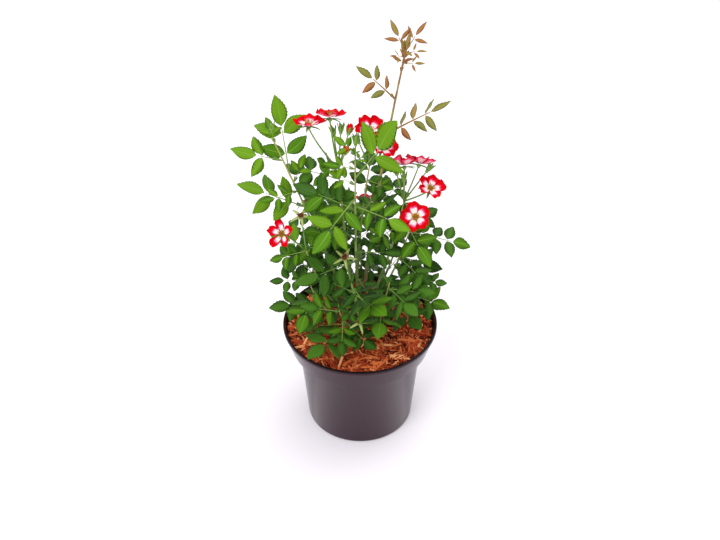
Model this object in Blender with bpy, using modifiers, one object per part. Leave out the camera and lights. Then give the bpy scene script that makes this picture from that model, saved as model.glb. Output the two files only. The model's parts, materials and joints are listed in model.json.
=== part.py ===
"""A small garden rose bush in a nursery pot, with single two-coloured blooms.

Metres, +Z up, the origin in the middle of the pot's flat underside. Right is +X, back is +Y.
Bearings are degrees seen from above, 0 to the right (+X) and 90 to the back (+Y). Rise is
degrees above level.
"""

import math
import random
from collections import namedtuple

import bmesh
import bpy
from mathutils import Matrix, Vector
from mathutils.bvhtree import BVHTree

# The pot: a 3 litre nursery container of 19 cm.
RIM_RADIUS = 0.095
POT_HEIGHT = 0.146
COLLAR_HEIGHT = 0.031
COLLAR_FOOT_RADIUS = 0.0865
SHOULDER_RADIUS = 0.0765
BASE_RADIUS = 0.067
WALL = 0.0016
LIP = 0.0032
POT_FACETS = 36
DRAIN_HOLES = 6
DRAIN_HOLE_RADIUS = 0.0045
DRAIN_RING_RADIUS = 0.048

# The growing medium, up to its bark mulch.
MULCH_LEVEL = 0.1395
MULCH_FALL = 0.0030
CROWN_SEAT_RADIUS = 0.020

# What separates two pieces that touch.
CLEAR = 0.0003

# The crown, a short woody stem that all the canes rise from.
CROWN_RADIUS = 0.012
CROWN_FLARE_RADIUS = 0.0145
CROWN_NECK_RADIUS = 0.0095
CROWN_CENTRE = Vector((0, 0, MULCH_LEVEL + 0.014))
FOOT_LENGTH = 0.003

# Leaves: shares of a compound leaf's whole length.
RACHIS_SHARE = {3: 0.50, 5: 0.61, 7: 0.68}
PAIRS = {3: (0.40,), 5: (0.26, 0.53), 7: (0.20, 0.40, 0.60)}
PAIR_LEAFLET_SHARE = {3: 0.42, 5: 0.36, 7: 0.29}
PAIR_ANGLE = 67
LEAFLET_WIDTH_SHARE = 0.64
LEAFLET_WIDEST = 0.44
RACHIS_RADIUS = 0.0011
LEAF_HALF_THICKNESS = 0.0009
NOTCH_RADIUS = 0.0018
SIZES = (1, 0.82, 0.66)
GOLDEN_ANGLE = 137.5

# Blooms, buds and spent blooms.
PETALS = 5
BLOOM_RADIUS = 0.0172
BLOOM_NOTCH_RADIUS = 0.0108
BLOOM_CUP = 0.0052
PETAL_CORNER_ANGLE = 21
HIP_DEPTH = 0.0050
BUD_LENGTH = 0.0135
BUD_RADIUS = 0.0036
SEPAL_LENGTH = 0.014
SEPAL_FALL = 0.0035
HIP_RADIUS = 0.0026
PEDICEL_RADIUS = 0.0008

# Leaves turn their upper sides this way, to the light.
LIGHT = Vector((0, -0.55, 0.83))

# Test shells stand this far out of a leaf, so that neighbours keep clear of each other.
TEST_MARGIN = 0.0006

Flower = namedtuple("Flower", "stage place bearing rise")
Leaf = namedtuple("Leaf", "at bearing rise length leaflets")
Shoot = namedtuple(
    "Shoot", "name foot bend tip radius bare leafy_to leaves first length rise_gain placed flowers"
)


def open_bloom(place, bearing, rise):
    """A bloom that faces the given way."""
    return Flower("open", place, bearing, rise)


def bud(place, bearing=90, rise=85):
    """A closed bud that points the given way."""
    return Flower("bud", place, bearing, rise)


def spent(place, bearing=90, rise=75):
    """A hip with its five sepals, after the petals have dropped."""
    return Flower("spent", place, bearing, rise)


# Each shoot leaves the crown at its foot, given as a bearing and a rise, bends once and ends at
# its tip. The share "bare" of its way is a bare cane. Its leaves follow a spiral from the bearing
# "first" up to the share "leafy_to", flatter at the bottom and steeper by "rise_gain" at the top.
# The placed leaves, each at a share of the way, stand out of that spiral and give the bush its
# outline.
SHOOTS = [
    Shoot(
        "leader", (62, 62), (0.017, 0.022, 0.325), (0.048, 0.020, 0.498), 0.0026, 0.20, 0.45,
        10, 40, 0.072, 20,
        [
            Leaf(0.71, 354, 34, 0.078, 7), Leaf(0.83, 176, 45, 0.056, 5), Leaf(0.985, 165, 68, 0.038, 3),
            Leaf(0.995, 12, 58, 0.036, 3), Leaf(0.92, 75, 62, 0.030, 3), Leaf(0.985, 350, 18, 0.022, 3),
            Leaf(0.955, 345, 4, 0.022, 3), Leaf(0.975, 205, 18, 0.017, 3),
        ],
        [],
    ),
    Shoot(
        "left_truss", (196, 66), (-0.016, -0.002, 0.250), (-0.024, 0.000, 0.368), 0.0021, 0.16,
        0.62, 11, 75, 0.074, 30,
        [
            Leaf(0.93, 168, 12, 0.062, 5), Leaf(0.97, 212, 42, 0.038, 3), Leaf(0.56, 214, 34, 0.076, 5),
            Leaf(0.64, 256, 30, 0.076, 5),
        ],
        [
            open_bloom((-0.0544, -0.008, 0.4248), 100, 82), open_bloom((-0.0320, 0.004, 0.4276), 85, 70),
            bud((-0.0113, 0.000, 0.4140)), bud((-0.0205, 0.006, 0.4120)),
            bud((-0.0151, -0.010, 0.3940), 300, 66), bud((-0.0287, 0.006, 0.4080), 150, 80),
        ],
    ),
    Shoot(
        "back_truss", (128, 62), (-0.004, 0.020, 0.250), (0.011, 0.016, 0.362), 0.0021, 0.18, 0.80,
        11, 150, 0.074, 25,
        [Leaf(0.90, 322, 4, 0.036, 5), Leaf(0.70, 60, 10, 0.056, 5)],
        [
            open_bloom((0.0103, 0.012, 0.4062), 285, 68), open_bloom((0.0245, 0.000, 0.3930), 318, 56),
            bud((-0.0030, 0.022, 0.3900), 140, 75),
        ],
    ),
    Shoot(
        "front_shoot", (262, 62), (-0.006, -0.030, 0.250), (-0.005, -0.031, 0.405), 0.0020, 0.16,
        0.74, 10, 20, 0.084, 30,
        [
            Leaf(0.89, 352, 57, 0.090, 3), Leaf(0.80, 238, -12, 0.084, 5), Leaf(0.76, 325, 2, 0.070, 5),
            Leaf(0.985, 175, 48, 0.030, 3), Leaf(0.93, 200, 22, 0.036, 3), Leaf(0.965, 285, 36, 0.028, 3),
            Leaf(0.86, 182, 34, 0.034, 3), Leaf(0.95, 25, 40, 0.026, 3),
        ],
        [bud((-0.0045, -0.032, 0.4190), 120, 80)],
    ),
    Shoot(
        "right_truss", (330, 60), (0.034, -0.008, 0.235), (0.050, 0.000, 0.325), 0.0022, 0.16, 0.66,
        11, 100, 0.070, 25,
        [Leaf(0.90, 300, -30, 0.070, 5), Leaf(0.80, 230, 4, 0.060, 5)],
        [
            open_bloom((0.0612, -0.034, 0.3243), 266, 36), open_bloom((0.0784, -0.004, 0.3420), 310, 66),
            open_bloom((0.0490, 0.006, 0.3665), 95, 54), open_bloom((0.0660, 0.012, 0.3650), 68, 50),
            bud((0.0396, -0.002, 0.3640), 160, 80), bud((0.0481, -0.012, 0.3620), 250, 80),
            bud((0.0770, 0.008, 0.3610), 20, 60),
        ],
    ),
    Shoot(
        "left_shoot", (170, 34), (-0.039, -0.004, 0.257), (-0.094, -0.012, 0.412), 0.0021, 0.16,
        0.70, 8, 110, 0.076, 20,
        [
            Leaf(0.84, 114, 70, 0.088, 5), Leaf(0.90, 190, 20, 0.058, 3), Leaf(0.68, 190, 30, 0.082, 5),
            Leaf(0.76, 214, 4, 0.046, 5), Leaf(0.97, 120, 50, 0.030, 3), Leaf(0.80, 60, 40, 0.034, 3),
        ],
        [bud((-0.0935, -0.012, 0.4230), 110, 80)],
    ),
    Shoot(
        "left_flowering_shoot", (205, 34), (-0.040, -0.026, 0.190), (-0.062, -0.026, 0.275), 0.0018,
        0.18, 0.92, 7, 300, 0.070, 20,
        [Leaf(0.98, 190, -8, 0.042, 5)],
        [open_bloom((-0.0873, -0.030, 0.2981), 238, 34), spent((-0.0649, -0.034, 0.3247), 262, 66)],
    ),
    Shoot(
        "low_left_shoot", (230, 26), (-0.044, -0.026, 0.165), (-0.062, -0.022, 0.232), 0.0017, 0.34,
        0.92, 5, 175, 0.064, 25,
        [Leaf(0.97, 192, 6, 0.044, 5), Leaf(0.62, 200, 16, 0.064, 5), Leaf(0.80, 258, 2, 0.066, 5)],
        [],
    ),
    Shoot(
        "front_left_shoot", (254, 28), (-0.016, -0.046, 0.165), (-0.024, -0.060, 0.212), 0.0017, 0.18,
        0.92, 5, 40, 0.068, 20,
        [Leaf(0.50, 234, 2, 0.074, 5), Leaf(0.97, 216, 34, 0.056, 5), Leaf(0.75, 268, -14, 0.050, 5)],
        [],
    ),
    Shoot(
        "low_front_shoot", (286, 30), (0.002, -0.044, 0.190), (-0.010, -0.054, 0.248), 0.0018, 0.18,
        0.92, 9, 262, 0.080, 20,
        [Leaf(0.64, 246, 8, 0.062, 5), Leaf(0.80, 298, 20, 0.072, 5)],
        [spent((-0.0171, -0.052, 0.2810), 262, 60), spent((0.0000, -0.074, 0.2060), 264, 56)],
    ),
    Shoot(
        "front_right_shoot", (314, 36), (0.026, -0.036, 0.185), (0.034, -0.044, 0.240), 0.0017, 0.38,
        0.92, 8, 60, 0.078, 20,
        [Leaf(0.60, 266, 12, 0.072, 5), Leaf(0.90, 326, 20, 0.064, 5)],
        [],
    ),
    Shoot(
        "low_right_shoot", (346, 28), (0.044, -0.020, 0.170), (0.066, -0.020, 0.232), 0.0018, 0.38,
        0.80, 5, 80, 0.058, 20,
        [Leaf(0.74, 332, 3, 0.056, 5), Leaf(0.95, 345, 4, 0.038, 5), Leaf(0.50, 292, 18, 0.068, 5)],
        [],
    ),
    Shoot(
        "right_shoot", (8, 40), (0.040, 0.006, 0.205), (0.058, -0.002, 0.286), 0.0019, 0.36, 0.92,
        7, 20, 0.068, 20,
        [Leaf(0.97, 357, -12, 0.074, 7), Leaf(0.70, 300, 4, 0.060, 5)],
        [],
    ),
    Shoot(
        "back_right_shoot", (36, 30), (0.036, 0.036, 0.190), (0.054, 0.048, 0.262), 0.0019, 0.18,
        0.92, 9, 10, 0.062, 20, [], [],
    ),
    Shoot(
        "back_shoot", (88, 30), (0.004, 0.054, 0.180), (-0.002, 0.078, 0.252), 0.0019, 0.18,
        0.92, 10, 60, 0.078, 20, [],
        [open_bloom((0.010, 0.098, 0.2560), 85, 45), bud((-0.014, 0.084, 0.2780))],
    ),
    Shoot(
        "back_left_shoot", (138, 30), (-0.036, 0.038, 0.190), (-0.054, 0.054, 0.256), 0.0019, 0.18,
        0.92, 10, 120, 0.066, 20, [],
        [spent((-0.064, 0.062, 0.2780), 130, 70)],
    ),
]


def clear_scene():
    """Removes whatever the startup file holds."""
    for obj in list(bpy.data.objects):
        bpy.data.objects.remove(obj)


def collection_named(name):
    """A new collection in the scene."""
    made = bpy.data.collections.new(name)
    bpy.context.scene.collection.children.link(made)
    return made


def material(name, colour, roughness):
    """A plain Principled material."""
    made = bpy.data.materials.new(name)
    made.use_nodes = True
    shader = made.node_tree.nodes["Principled BSDF"]
    shader.inputs["Base Color"].default_value = (*colour, 1)
    shader.inputs["Roughness"].default_value = roughness
    shader.inputs["Metallic"].default_value = 0
    return made


def direction(bearing, rise):
    """The unit vector of a bearing and a rise, both in degrees."""
    b, r = math.radians(bearing), math.radians(rise)
    return Vector((math.cos(b) * math.cos(r), math.sin(b) * math.cos(r), math.sin(r)))


def frame_at(place, along, roll=0.0):
    """A matrix at a place with its X along a direction and its Z as near the light as that lets it."""
    x = along.normalized()
    side = LIGHT.cross(x)
    if side.length < 0.05:
        side = Vector((0, 1, 0.2)).cross(x)
    y = side.normalized()
    z = x.cross(y)
    turn = Matrix((x, y, z)).transposed().to_4x4()
    return Matrix.Translation(place) @ turn @ Matrix.Rotation(roll, 4, "X")


def object_of(name, mesh_maker, collection, surface):
    """A mesh object made by a function that fills a bmesh."""
    shape = bmesh.new()
    mesh_maker(shape)
    mesh = bpy.data.meshes.new(name)
    shape.to_mesh(mesh)
    shape.free()
    mesh.materials.append(surface)
    made = bpy.data.objects.new(name, mesh)
    collection.objects.link(made)
    return made


def turned(name, profile, collection, surface):
    """A solid of revolution about Z. The profile is (radius, height) points, down its outer side."""
    mesh = bpy.data.meshes.new(name)
    points = [(r, 0, z) for r, z in profile]
    mesh.from_pydata(points, [(i, i + 1) for i in range(len(points) - 1)], [])
    mesh.materials.append(surface)
    made = bpy.data.objects.new(name, mesh)
    collection.objects.link(made)
    screw = made.modifiers.new("turn", "SCREW")
    screw.steps = screw.render_steps = POT_FACETS
    screw.use_merge_vertices = True
    screw.merge_threshold = 1e-5
    screw.use_smooth_shade = False
    return made


def inner_profile(gap):
    """The pot's inside from its floor to its lip, gap metres in from the walls, bottom to top."""
    shoulder = POT_HEIGHT - COLLAR_HEIGHT
    inset = WALL + gap
    return [
        (BASE_RADIUS - inset, WALL + gap),
        (SHOULDER_RADIUS - inset, shoulder + gap),
        (COLLAR_FOOT_RADIUS - inset, shoulder + 0.004 + gap),
        (RIM_RADIUS - LIP - gap, POT_HEIGHT - 0.002),
    ]


def make_pot(collection, cutters):
    """The thin moulded pot, with its flared collar, rolled lip and drain holes."""
    plastic = material("pot_plastic", (0.035, 0.032, 0.036), 0.35)
    shoulder = POT_HEIGHT - COLLAR_HEIGHT
    inside = inner_profile(0)
    outside = [
        (RIM_RADIUS - LIP + 0.0006, POT_HEIGHT),
        (RIM_RADIUS - 0.0008, POT_HEIGHT),
        (RIM_RADIUS, POT_HEIGHT - 0.0012),
        (RIM_RADIUS, POT_HEIGHT - 0.0042),
        (RIM_RADIUS - 0.0012, POT_HEIGHT - 0.0054),
        (COLLAR_FOOT_RADIUS, shoulder + 0.001),
        (COLLAR_FOOT_RADIUS - 0.001, shoulder),
        (SHOULDER_RADIUS, shoulder - 0.002),
        (BASE_RADIUS, 0.002),
        (BASE_RADIUS - 0.002, 0),
    ]
    pot = turned("pot", [(0, WALL), *inside, *outside, (0, 0)], collection, plastic)
    for i in range(DRAIN_HOLES):
        turn = math.tau * (i + 0.5) / DRAIN_HOLES
        bpy.ops.mesh.primitive_cylinder_add(
            vertices=8,
            radius=DRAIN_HOLE_RADIUS,
            depth=0.01,
            location=(DRAIN_RING_RADIUS * math.cos(turn), DRAIN_RING_RADIUS * math.sin(turn), 0),
        )
        hole = bpy.context.object
        hole.name = f"drain_hole_{i}"
        hole.hide_render = True
        hole.display_type = "WIRE"
        for owner in list(hole.users_collection):
            owner.objects.unlink(hole)
        cutters.objects.link(hole)
    cut = pot.modifiers.new("drain holes", "BOOLEAN")
    cut.operation = "DIFFERENCE"
    cut.operand_type = "COLLECTION"
    cut.collection = cutters
    return pot


def make_growing_medium(collection):
    """The compost that fills the pot, with a nearly level top of bark mulch."""
    mulch = material("bark_mulch", (0.32, 0.11, 0.035), 0.9)
    inside = inner_profile(CLEAR)
    low, high = inside[2], inside[3]
    share = (MULCH_LEVEL - MULCH_FALL - low[1]) / (high[1] - low[1])
    edge = (low[0] + (high[0] - low[0]) * share, MULCH_LEVEL - MULCH_FALL)
    middle = ((edge[0] + CROWN_SEAT_RADIUS) / 2, MULCH_LEVEL - 0.3 * MULCH_FALL)
    top = [(0, MULCH_LEVEL), (CROWN_SEAT_RADIUS, MULCH_LEVEL), middle, edge]
    return turned("growing_medium", [*top, *inside[2::-1], (0, inside[0][1])], collection, mulch)


def make_crown(collection, bark):
    """The stem base: flared at its flat cut, with a knob on top that the canes rise from."""
    foot = MULCH_LEVEL + CLEAR
    arc = [
        (CROWN_RADIUS * math.cos(a), CROWN_CENTRE.z + CROWN_RADIUS * math.sin(a))
        for a in (math.radians(d) for d in (90, 60, 30, 0, -30))
    ]
    profile = [*arc, (CROWN_NECK_RADIUS, foot + 0.004), (CROWN_FLARE_RADIUS, foot), (0, foot)]
    profile[0] = (0, arc[0][1])
    crown = turned("stem_base", profile, collection, bark)
    crown.modifiers["turn"].steps = crown.modifiers["turn"].render_steps = 16
    return crown


def way(shoot, t):
    """A point on a shoot's way, from near its foot at 0 to its tip at 1."""
    foot = CROWN_CENTRE + direction(*shoot.foot) * (CROWN_RADIUS + CLEAR + FOOT_LENGTH)
    bend, tip = Vector(shoot.bend), Vector(shoot.tip)
    return foot * (1 - t) ** 2 + bend * 2 * t * (1 - t) + tip * t * t


def thickness(shoot, t):
    """A shoot's radius: it tapers to a third at its tip."""
    return shoot.radius * (1 - 0.66 * t)


def tube(name, way_points, radii, sides_level, collection, surface):
    """A tapering limb through points, as a closed mesh."""
    line = bpy.data.curves.new(name, "CURVE")
    line.dimensions = "3D"
    line.bevel_depth = 1
    line.bevel_resolution = sides_level
    line.use_fill_caps = True
    run = line.splines.new("POLY")
    run.points.add(len(way_points) - 1)
    for point, place, radius in zip(run.points, way_points, radii):
        point.co = (*place, 1)
        point.radius = radius
    drawn = bpy.data.objects.new(name + "_line", line)
    collection.objects.link(drawn)
    bpy.context.view_layer.update()
    mesh = bpy.data.meshes.new_from_object(drawn.evaluated_get(bpy.context.evaluated_depsgraph_get()))
    bpy.data.objects.remove(drawn)
    shape = bmesh.new()
    shape.from_mesh(mesh)
    bmesh.ops.remove_doubles(shape, verts=shape.verts, dist=1e-6)
    bmesh.ops.recalc_face_normals(shape, faces=shape.faces)
    shape.to_mesh(mesh)
    shape.free()
    mesh.name = name
    mesh.materials.clear()
    mesh.materials.append(surface)
    made = bpy.data.objects.new(name, mesh)
    collection.objects.link(made)
    return made


def stretch(shoot, start, end, count):
    """Evenly spaced points and radii of a shoot between two shares of its way."""
    shares = [start + (end - start) * i / (count - 1) for i in range(count)]
    return [way(shoot, t) for t in shares], [thickness(shoot, t) for t in shares]


def ring_turn(vert, sides):
    """Which of a ball's meridians a vertex is on, counted round from +X."""
    return round(math.atan2(vert.co.y, vert.co.x) / math.tau * sides) % sides


def spear(shape, matrix, rings):
    """A four-sided spindle along X through five rings, each (distance, half width, half thickness)."""
    made = bmesh.ops.create_uvsphere(shape, u_segments=4, v_segments=4, radius=1)["verts"]
    places = []
    for vert in made:
        x, wide, thick = rings[round(math.acos(max(-1, min(1, vert.co.z))) / math.pi * 4)]
        turn = math.tau / 4 * ring_turn(vert, 4)
        places.append((x, wide * math.cos(turn), thick * math.sin(turn)))
    for vert, place in zip(made, places):
        vert.co = place
    bmesh.ops.transform(shape, matrix=matrix, verts=made)
    bmesh.ops.recalc_face_normals(shape, faces=shape.faces)


def star(shape, matrix, outline, top, bottom):
    """A double pyramid over an outline of (x, y, z) corners that goes round the Z axis."""
    sides = len(outline)
    made = bmesh.ops.create_uvsphere(shape, u_segments=sides, v_segments=2, radius=1)["verts"]
    places = [
        (0, 0, top if vert.co.z > 0 else bottom) if abs(vert.co.z) > 0.5 else outline[ring_turn(vert, sides)]
        for vert in made
    ]
    for vert, place in zip(made, places):
        vert.co = place
    bmesh.ops.transform(shape, matrix=matrix, verts=made)
    bmesh.ops.recalc_face_normals(shape, faces=shape.faces)


def stick(shape, start, end, radius, end_radius):
    """A three-sided tapering twig or pedicel."""
    along = end - start
    matrix = Matrix.Translation((start + end) / 2) @ along.to_track_quat("Z", "Y").to_matrix().to_4x4()
    bmesh.ops.create_cone(
        shape, cap_ends=True, segments=3, radius1=radius, radius2=end_radius,
        depth=along.length, matrix=matrix,
    )


def spiral_leaves(shoot):
    """The leaves of a shoot that follow its spiral, from the lowest up."""
    chance = random.Random(shoot.name)
    lowest = shoot.bare + 0.05
    for i in range(shoot.leaves):
        share = i / (shoot.leaves - 1)
        bearing = shoot.first + GOLDEN_ANGLE * i + chance.uniform(-12, 12)
        rise = -4 + shoot.rise_gain * share ** 1.5 + chance.uniform(-8, 8)
        length = shoot.length * (0.86 + 0.14 * math.sin(math.pi * share)) * chance.uniform(0.92, 1.08)
        yield Leaf(lowest + (shoot.leafy_to - lowest) * share, bearing, rise, length, 5)


def leaflet(size, angle, start=0.0):
    """The three outer corners of a leaflet at an angle to the rachis, its front one first."""
    turn = math.radians(angle)
    ahead = Vector((math.cos(turn), math.sin(turn), 0))
    across = Vector((math.sin(turn), -math.cos(turn), 0)) * size * LEAFLET_WIDTH_SHARE / 2
    middle = ahead * (start + size * LEAFLET_WIDEST)
    return [middle + across, ahead * (start + size), middle - across]


def whorl(pair_size, front, notch):
    """The outline of two opposite leaflets with something in front of them, from there to the left."""
    left = [Vector((notch * 0.877, notch * 0.48, 0)), *leaflet(pair_size, PAIR_ANGLE)]
    right = [Vector((v.x, -v.y, 0)) for v in left[::-1]]
    return [*front[len(front) // 2:], *left, Vector((-notch, 0, 0)), *right, *front[:len(front) // 2]]


def leaf_pieces(shoot, leaf, scale=1.0):
    """A compound leaf: functions that each draw one piece, from its stalk to its end leaflet."""
    length, count = leaf.length * scale, leaf.leaflets
    roll = random.Random(f"{shoot.name} {leaf.bearing:.3f}").uniform(-0.25, 0.25)
    place, along = way(shoot, leaf.at), direction(leaf.bearing, leaf.rise)
    base = frame_at(place, along, roll=roll)
    shares = PAIRS[count]
    stalk_end = place + along * (length * shares[0] + 0.0008)
    pieces = [lambda s: stick(s, place, stalk_end, RACHIS_RADIUS, 0.8 * RACHIS_RADIUS)]
    for n, share in enumerate(shares):
        pair_size = length * PAIR_LEAFLET_SHARE[count] * (0.84 + 0.16 * (n + 1) / len(shares))
        if n + 1 < len(shares):
            front = [Vector((length * (shares[n + 1] - share) + 0.0024, 0, 0))]
        else:
            end_start = length * (RACHIS_SHARE[count] - share)
            front = leaflet(length * (1 - RACHIS_SHARE[count]), 0, end_start)
        outline = whorl(pair_size, front, NOTCH_RADIUS)
        middle = base @ Matrix.Translation((length * share, 0.00012, 0.00008)) @ Matrix.Rotation(0.05, 4, "X")
        thick = LEAF_HALF_THICKNESS
        pieces.append(lambda s, m=middle, o=outline: star(s, m, o, thick, -thick))
    return pieces


def bloom_outline():
    """Five petals, each with two round corners, from one notch to the next."""
    corners = []
    for i in range(PETALS):
        middle = math.tau * (i + 0.5) / PETALS
        lean = math.radians(PETAL_CORNER_ANGLE)
        notch = middle - math.pi / PETALS
        corners.append((BLOOM_NOTCH_RADIUS, notch, BLOOM_CUP * 0.5))
        corners.append((BLOOM_RADIUS, middle - lean, BLOOM_CUP))
        corners.append((BLOOM_RADIUS, middle + lean, BLOOM_CUP))
    return [(r * math.cos(a), r * math.sin(a), z) for r, a, z in corners]


def sepal_outline():
    """Five narrow sepals that hang a little."""
    corners = [
        (SEPAL_LENGTH, math.tau * i / 10, -SEPAL_FALL) if i % 2 == 0 else (HIP_RADIUS, math.tau * i / 10, 0)
        for i in range(10)
    ]
    return [(r * math.cos(a), r * math.sin(a), z) for r, a, z in corners]


def flower_pieces(flower, start):
    """A bloom, bud or spent bloom on its pedicel: functions that each draw one piece."""
    place = Vector(flower.place)
    face = direction(flower.bearing, flower.rise)
    if flower.stage == "bud":
        along = place - start
        base = frame_at(start, along)
        end = along.length - BUD_LENGTH / 2
        rings = [
            (-0.0004, 0, 0),
            (0.0006, PEDICEL_RADIUS, PEDICEL_RADIUS),
            (end, PEDICEL_RADIUS, PEDICEL_RADIUS),
            (end + BUD_LENGTH * 0.35, BUD_RADIUS, BUD_RADIUS),
            (end + BUD_LENGTH, 0, 0),
        ]
        return [lambda s: spear(s, base, rings)]
    under = place - face * HIP_DEPTH * 0.5
    base = Matrix.Translation(place) @ face.to_track_quat("Z", "Y").to_matrix().to_4x4()
    pieces = [lambda s: stick(s, start, under, PEDICEL_RADIUS * 1.2, PEDICEL_RADIUS)]
    if flower.stage == "open":
        pieces.append(lambda s: star(s, base, bloom_outline(), 0.0004, -HIP_DEPTH))
    else:
        pieces.append(lambda s: star(s, base, sepal_outline(), 0.0025, -HIP_DEPTH))
    return pieces


def tree_of_piece(draw, margin):
    """A search tree of one piece, grown outwards by a margin."""
    shape = bmesh.new()
    draw(shape)
    shape.normal_update()
    for vert in shape.verts:
        vert.co += vert.normal * margin
    tree = BVHTree.FromBMesh(shape)
    centre = sum((vert.co for vert in shape.verts), Vector()) / len(shape.verts)
    reach = max((vert.co - centre).length for vert in shape.verts)
    shape.free()
    return tree, centre, reach


def tree_of(obj):
    """A search tree of an object as the viewport shows it."""
    return BVHTree.FromObject(obj, bpy.context.evaluated_depsgraph_get())


class Space:
    """What stands where: the limbs, and the pieces that each mass has taken so far."""

    def __init__(self, limbs):
        self.limbs = limbs
        self.taken = {}

    def clear_of_others(self, owner, draw, own_leaves=False):
        """True if a piece keeps clear of the limbs and of every other mass."""
        shell, centre, reach = tree_of_piece(draw, TEST_MARGIN)
        for name, limb in self.limbs.items():
            if name not in (owner, owner + "_cane") and shell.overlap(limb):
                return False
        for name, pieces in self.taken.items():
            if name == owner and not own_leaves:
                continue
            for tree, other_centre, other_reach in pieces:
                near = (centre - other_centre).length < reach + other_reach
                if near and shell.overlap(tree):
                    return False
        return True

    def take(self, owner, draws):
        """Notes the pieces of a leaf or a flower that is kept."""
        self.taken.setdefault(owner, []).extend(tree_of_piece(draw, 0) for draw in draws)


def kept_pieces(space, owner, pieces, apart_from=1):
    """All of a leaf's or a flower's pieces if they fit, or else none."""
    for n, draw in enumerate(pieces):
        if not space.clear_of_others(owner, draw, own_leaves=n >= apart_from):
            return []
    space.take(owner, pieces)
    return pieces


def kept_leaf(space, shoot, leaf):
    """A leaf's pieces at the largest of its sizes that fits, or none."""
    for scale in SIZES:
        kept = kept_pieces(space, shoot.name, leaf_pieces(shoot, leaf, scale))
        if kept:
            return kept
    return []


def fuse(stem, pieces, surface):
    """Joins a mass's pieces to its stem with one Boolean union."""
    loose = bpy.data.collections.new(stem.name + "_pieces")
    bpy.context.scene.collection.children.link(loose)
    for i, draw in enumerate(pieces):
        object_of(f"{stem.name}_piece_{i}", draw, loose, surface)
    union = stem.modifiers.new("one solid", "BOOLEAN")
    union.operation = "UNION"
    union.operand_type = "COLLECTION"
    union.collection = loose
    union.solver = "MANIFOLD"
    bpy.context.view_layer.update()
    graph = bpy.context.evaluated_depsgraph_get()
    mesh = bpy.data.meshes.new_from_object(stem.evaluated_get(graph))
    stem.modifiers.clear()
    stem.data = mesh
    for obj in list(loose.objects):
        bpy.data.objects.remove(obj)
    bpy.data.collections.remove(loose)


def keep_largest(mass):
    """Drops scraps that the union left loose."""
    shape = bmesh.new()
    shape.from_mesh(mass.data)
    left, groups = set(shape.verts), []
    while left:
        group, reach = set(), [left.pop()]
        while reach:
            vert = reach.pop()
            group.add(vert)
            for edge in vert.link_edges:
                other = edge.other_vert(vert)
                if other in left:
                    left.discard(other)
                    reach.append(other)
        groups.append(group)
    groups.sort(key=len)
    for group in groups[:-1]:
        bmesh.ops.delete(shape, geom=list(group), context="VERTS")
    shape.to_mesh(mass.data)
    shape.free()


def make_cane(shoot, collection, bark):
    """The bare cane between the crown and a shoot's leafy part."""
    end = shoot.bare - CLEAR / (way(shoot, shoot.bare) - way(shoot, shoot.bare - 0.01)).length * 0.01
    points, radii = stretch(shoot, 0, end, 3)
    foot = CROWN_CENTRE + direction(*shoot.foot) * (CROWN_RADIUS + CLEAR)
    return tube(shoot.name + "_cane", [foot, *points], [shoot.radius, *radii], 1, collection, bark)


def main():
    clear_scene()
    bush = collection_named("potted_rose_bush")
    cutters = collection_named("cutters")
    bark = material("cane_bark", (0.16, 0.22, 0.06), 0.6)
    leaf_green = material("rose_foliage", (0.07, 0.20, 0.035), 0.5)
    limbs = [make_pot(bush, cutters), make_growing_medium(bush), make_crown(bush, bark)]
    limbs += [make_cane(shoot, bush, bark) for shoot in SHOOTS]
    stems = {s.name: tube(s.name, *stretch(s, s.bare, 1, 6), 0, bush, leaf_green) for s in SHOOTS}
    bpy.context.view_layer.update()
    space = Space({obj.name: tree_of(obj) for obj in [*limbs, *stems.values()]})
    kept = {shoot.name: [] for shoot in SHOOTS}
    for shoot in SHOOTS:
        for flower in shoot.flowers:
            pieces = flower_pieces(flower, way(shoot, 0.985))
            kept[shoot.name] += kept_pieces(space, shoot.name, pieces, len(pieces))
    for shoot in SHOOTS:
        for leaf in shoot.placed:
            kept[shoot.name] += kept_leaf(space, shoot, leaf)
    for shoot in SHOOTS:
        for leaf in spiral_leaves(shoot):
            kept[shoot.name] += kept_leaf(space, shoot, leaf)
    for name, stem in stems.items():
        fuse(stem, kept[name], leaf_green)
        keep_largest(stem)


main()
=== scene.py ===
import json
import math
import random
from collections import namedtuple

import bpy
from mathutils import Matrix, Vector
from mathutils.bvhtree import BVHTree

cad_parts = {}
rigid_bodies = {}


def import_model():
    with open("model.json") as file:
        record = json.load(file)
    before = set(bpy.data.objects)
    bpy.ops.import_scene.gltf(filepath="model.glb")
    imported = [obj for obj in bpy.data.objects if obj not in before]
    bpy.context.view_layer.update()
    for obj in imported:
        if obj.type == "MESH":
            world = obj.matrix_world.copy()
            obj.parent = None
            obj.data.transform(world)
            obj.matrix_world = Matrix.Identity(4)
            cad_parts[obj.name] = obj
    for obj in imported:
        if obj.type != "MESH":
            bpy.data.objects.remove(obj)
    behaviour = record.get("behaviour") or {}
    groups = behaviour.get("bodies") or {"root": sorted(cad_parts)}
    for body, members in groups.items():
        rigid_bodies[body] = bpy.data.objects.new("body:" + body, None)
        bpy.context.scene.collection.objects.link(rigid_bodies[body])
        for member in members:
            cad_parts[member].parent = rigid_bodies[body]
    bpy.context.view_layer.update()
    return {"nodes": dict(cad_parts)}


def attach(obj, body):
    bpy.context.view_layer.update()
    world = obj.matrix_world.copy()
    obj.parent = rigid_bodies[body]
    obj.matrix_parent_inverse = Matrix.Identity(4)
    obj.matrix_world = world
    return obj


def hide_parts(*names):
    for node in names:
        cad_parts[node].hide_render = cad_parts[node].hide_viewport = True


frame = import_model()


# ---------------------------------------------------------------------------------------------
# The pot: a thin moulded 3 litre container, turned in fine steps round the growing medium, with
# its flared collar, rolled lip and drain holes. Semi-gloss dark grey plastic with a violet cast.
# ---------------------------------------------------------------------------------------------
RIM_RADIUS = 0.095
POT_HEIGHT = 0.146
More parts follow.
